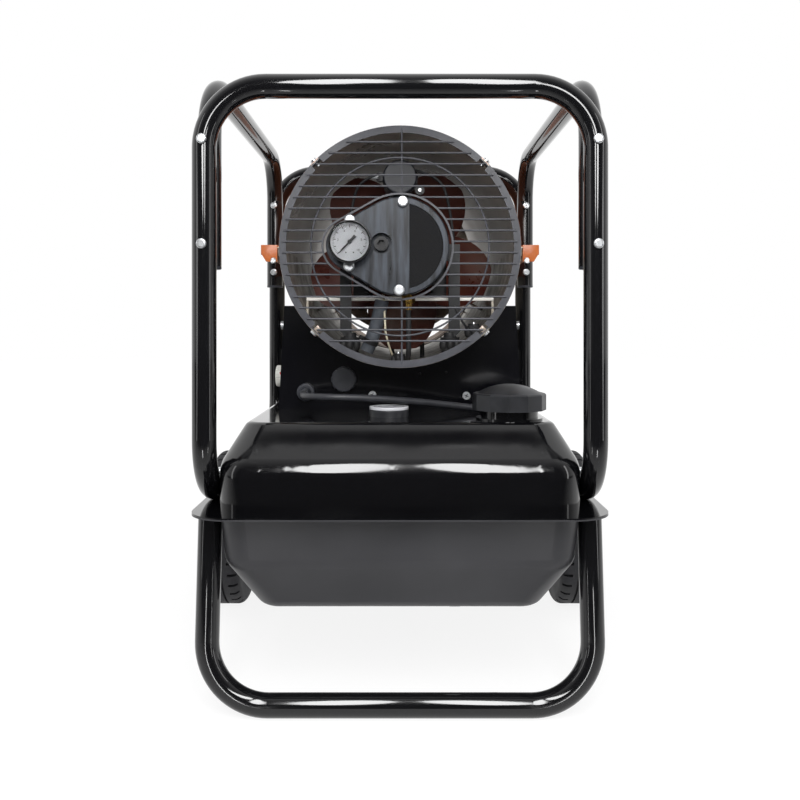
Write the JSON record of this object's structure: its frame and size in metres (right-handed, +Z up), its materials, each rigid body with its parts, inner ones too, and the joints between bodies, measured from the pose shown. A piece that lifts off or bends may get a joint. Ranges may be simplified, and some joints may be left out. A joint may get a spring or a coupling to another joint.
{
  "type": "forced air heater",
  "caption": "Portable fuel-burning forced air heater: round barrel with fan and air pump over a fuel tank, in a tube cage with wheels and a standing foot.",
  "frame": {"origin": "on the floor under the middle of the heater, cord left out", "axes": "+X to the right seen from the fan end, +Y from the fan end to the hot air outlet, +Z up"},
  "size_m": [0.536, 0.814, 0.684],
  "materials": {
    "frame_black": "gloss powder coat",
    "tank_gloss": "gloss enamel",
    "tank_satin": "satin enamel",
    "box_black": "gloss powder coat",
    "barrel_orange": "powder coat outside",
    "galvanised": "zinc coated sheet",
    "zinc_screws": "bright zinc plate",
    "heat_steel": "heat resistant sheet",
    "fan_metal": "satin dark red",
    "guard_grey": "satin dark grey powder coat",
    "cast_grey": "brushed dark casting",
    "motor_black": "satin",
    "rubber_black": "matt",
    "tyre_black": "matt",
    "plastic_black": "fine texture",
    "capacitor_grey": "moulded",
    "plastic_white": "moulded",
    "switch_red": "moulded",
    "brass": "machined",
    "ceramic": "glazed",
    "clear": "clear",
    "foam": "open cell foam",
    "needle_black": "matt",
    "circuit_green": "board",
    "carbon": "graphite",
    "windings": "enamelled copper",
    "gauge_black": "gloss"
  },
  "bodies": {
    "chassis": {"rear_hoop": "frame_black", "front_hoop": "frame_black", "side_rails": "frame_black", "rail_end_caps": "plastic_black", "leg_hoop": "frame_black", "frame_bolts": "zinc_screws", "tank_upper_shell": "tank_gloss", "tank_lower_shell": "tank_satin", "tank_drain_plug": "zinc_screws", "filler_neck": "tank_gloss", "filler_strainer": "galvanised", "fuel_gauge_body": "plastic_black", "gauge_lenses": "clear", "fuel_pickup": "brass", "wheel_brackets": "frame_black", "stub_axles": "zinc_screws", "upper_shell": "barrel_orange", "lower_shell": "galvanised", "outlet_ring": "heat_steel", "combustion_chamber": "heat_steel", "flame_baffle": "heat_steel", "burner_head": "heat_steel", "fuel_nozzle": "brass", "igniter_electrodes": "ceramic", "fuel_and_air_lines": "rubber_black", "air_fitting": "brass", "control_box": "box_black", "box_side_cover": "box_black", "control_panel": "box_black", "control_unit": "circuit_green", "cable_gland": "plastic_black", "thermostat_socket": "plastic_black", "motor_body": "motor_black", "motor_stator": "windings", "motor_bracket": "galvanised", "motor_capacitor": "capacitor_grey", "pump_body": "cast_grey", "pump_cover": "cast_grey", "intake_filter": "foam", "pressure_gauge": "gauge_black", "fan_guard": "guard_grey", "housing_screws": "zinc_screws", "power_cord": "rubber_black", "power_cord_coil": "rubber_black", "power_plug": "plastic_black"},
    "rotor": {"motor_shaft": "zinc_screws", "fan_impeller": "fan_metal", "pump_rotor": "carbon"},
    "wheel_left": {"tyre_left": "tyre_black", "rim_left": "frame_black"},
    "wheel_right": {"tyre_right": "tyre_black", "rim_right": "frame_black"},
    "cap_seal": {"cap_gasket": "rubber_black"},
    "cap": {"fuel_cap": "plastic_black"},
    "float": {"float_arm": "plastic_white"},
    "tank_needle": {"fuel_pointer": "switch_red"},
    "dial_needle": {"pressure_needle": "needle_black"},
    "pressure_screw": {"adjusting_screw": "gauge_black"},
    "switch": {"rocker_switch": "switch_red"},
    "knob": {"thermostat_knob": "plastic_white"}
  },
  "joints": [
    {"name": "fan_spin", "type": "hinge", "parent": "chassis", "child": "rotor", "pos_m": [0, -0.115, 0.496], "axis": [0, 1, 0], "continuous": true},
    {"name": "wheel_left_spin", "type": "hinge", "parent": "chassis", "child": "wheel_left", "pos_m": [-0.245, 0.029, 0.11], "axis": [1, 0, 0], "continuous": true},
    {"name": "wheel_right_spin", "type": "hinge", "parent": "chassis", "child": "wheel_right", "pos_m": [0.245, 0.029, 0.11], "axis": [1, 0, 0], "continuous": true},
    {"name": "cap_turn", "type": "hinge", "parent": "chassis", "child": "cap_seal", "pos_m": [0.122, -0.293, 0.325], "axis": [0, 0, 1], "range_deg": [0, 90]},
    {"name": "cap_lift", "type": "slide", "parent": "cap_seal", "child": "cap", "axis": [0, 0, 1], "range_m": [0, 0.045]},
    {"name": "float_swing", "type": "hinge", "parent": "chassis", "child": "float", "pos_m": [-0.0127, -0.263, 0.205], "axis": [1, 0, 0], "range_deg": [-38, 38]},
    {"name": "tank_needle_turn", "type": "hinge", "parent": "chassis", "child": "tank_needle", "pos_m": [-0.0127, -0.263, 0.3065], "axis": [0, 0, 1], "range_deg": [-57, 57]},
    {"name": "dial_needle_turn", "type": "hinge", "parent": "chassis", "child": "dial_needle", "pos_m": [-0.0555, -0.3085, 0.4995], "axis": [0, 1, 0], "range_deg": [0, 270]},
    {"name": "pressure_screw_turn", "type": "hinge", "parent": "chassis", "child": "pressure_screw", "pos_m": [-0.021, -0.283, 0.499], "axis": [0, 1, 0], "range_deg": [-180, 180]},
    {"name": "switch_rock", "type": "hinge", "parent": "chassis", "child": "switch", "pos_m": [-0.1465, -0.127, 0.337], "axis": [0, 1, 0], "range_deg": [0, 18]},
    {"name": "knob_turn", "type": "hinge", "parent": "chassis", "child": "knob", "pos_m": [-0.151, -0.063, 0.337], "axis": [-1, 0, 0], "range_deg": [0, 270]}
  ],
  "couplings": [
    {"joint": "tank_needle_turn", "follows": "float_swing", "ratio": 1.5}
  ]
}
